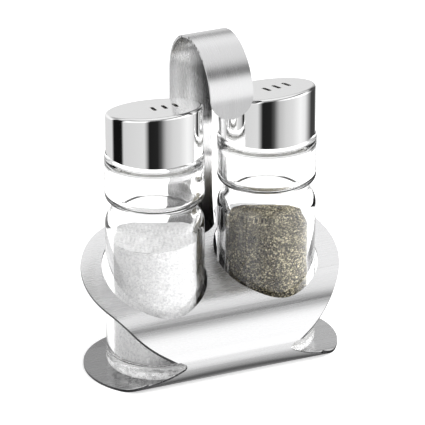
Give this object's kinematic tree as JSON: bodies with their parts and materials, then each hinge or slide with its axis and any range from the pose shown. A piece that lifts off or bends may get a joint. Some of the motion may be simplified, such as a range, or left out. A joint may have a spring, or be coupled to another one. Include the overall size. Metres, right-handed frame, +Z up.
{
  "type": "salt and pepper set",
  "caption": "Table set of two glass shakers with slanted screw caps, standing in a bent steel holder with a rolled front and a carrying loop.",
  "frame": {"origin": "on the table under the base, midway between the two shakers", "axes": "+X along the row towards the pepper shaker, +Y to the back where the strip rises, +Z up"},
  "size_m": [0.1096, 0.0585, 0.1402],
  "materials": {
    "bent_steel": "fine brushed",
    "polished_steel": "polished",
    "clear_glass": "clear",
    "cap_plastic": "moulded",
    "seal_rubber": "soft",
    "salt_grains": "fine grains",
    "pepper_grains": "coarse ground"
  },
  "bodies": {
    "holder": {"holder": "bent_steel"},
    "salt_shaker": {"salt_jar": "clear_glass", "salt_grains": "salt_grains"},
    "salt_seal": {"salt_seal_ring": "seal_rubber"},
    "salt_cap": {"salt_cap_insert": "cap_plastic", "salt_cap_shell": "polished_steel"},
    "pepper_shaker": {"pepper_jar": "clear_glass", "pepper_grains": "pepper_grains"},
    "pepper_seal": {"pepper_seal_ring": "seal_rubber"},
    "pepper_cap": {"pepper_cap_insert": "cap_plastic", "pepper_cap_shell": "polished_steel"}
  },
  "joints": [
    {"name": "salt_lift_out", "type": "hinge", "parent": "holder", "child": "salt_shaker", "pos_m": [-0.3245, 0, 0.018], "axis": [0, -1, 0], "range_deg": [0, 7.7]},
    {"name": "salt_cap_rise", "type": "slide", "parent": "salt_shaker", "child": "salt_seal", "axis": [0, 0, 1], "range_m": [0, 0.00481]},
    {"name": "salt_cap_turn", "type": "hinge", "parent": "salt_seal", "child": "salt_cap", "pos_m": [-0.0245, 0, 0.1], "axis": [0, 0, 1], "range_deg": [0, 540]},
    {"name": "pepper_lift_out", "type": "hinge", "parent": "holder", "child": "pepper_shaker", "pos_m": [0.3245, 0, 0.018], "axis": [0, 1, 0], "range_deg": [0, 7.7]},
    {"name": "pepper_cap_rise", "type": "slide", "parent": "pepper_shaker", "child": "pepper_seal", "axis": [0, 0, 1], "range_m": [0, 0.00481]},
    {"name": "pepper_cap_turn", "type": "hinge", "parent": "pepper_seal", "child": "pepper_cap", "pos_m": [0.0245, 0, 0.1], "axis": [0, 0, 1], "range_deg": [0, 540]}
  ],
  "couplings": [
    {"joint": "salt_cap_rise", "follows": "salt_cap_turn", "m_per_rad": 0.0005093},
    {"joint": "pepper_cap_rise", "follows": "pepper_cap_turn", "m_per_rad": 0.0005093}
  ]
}
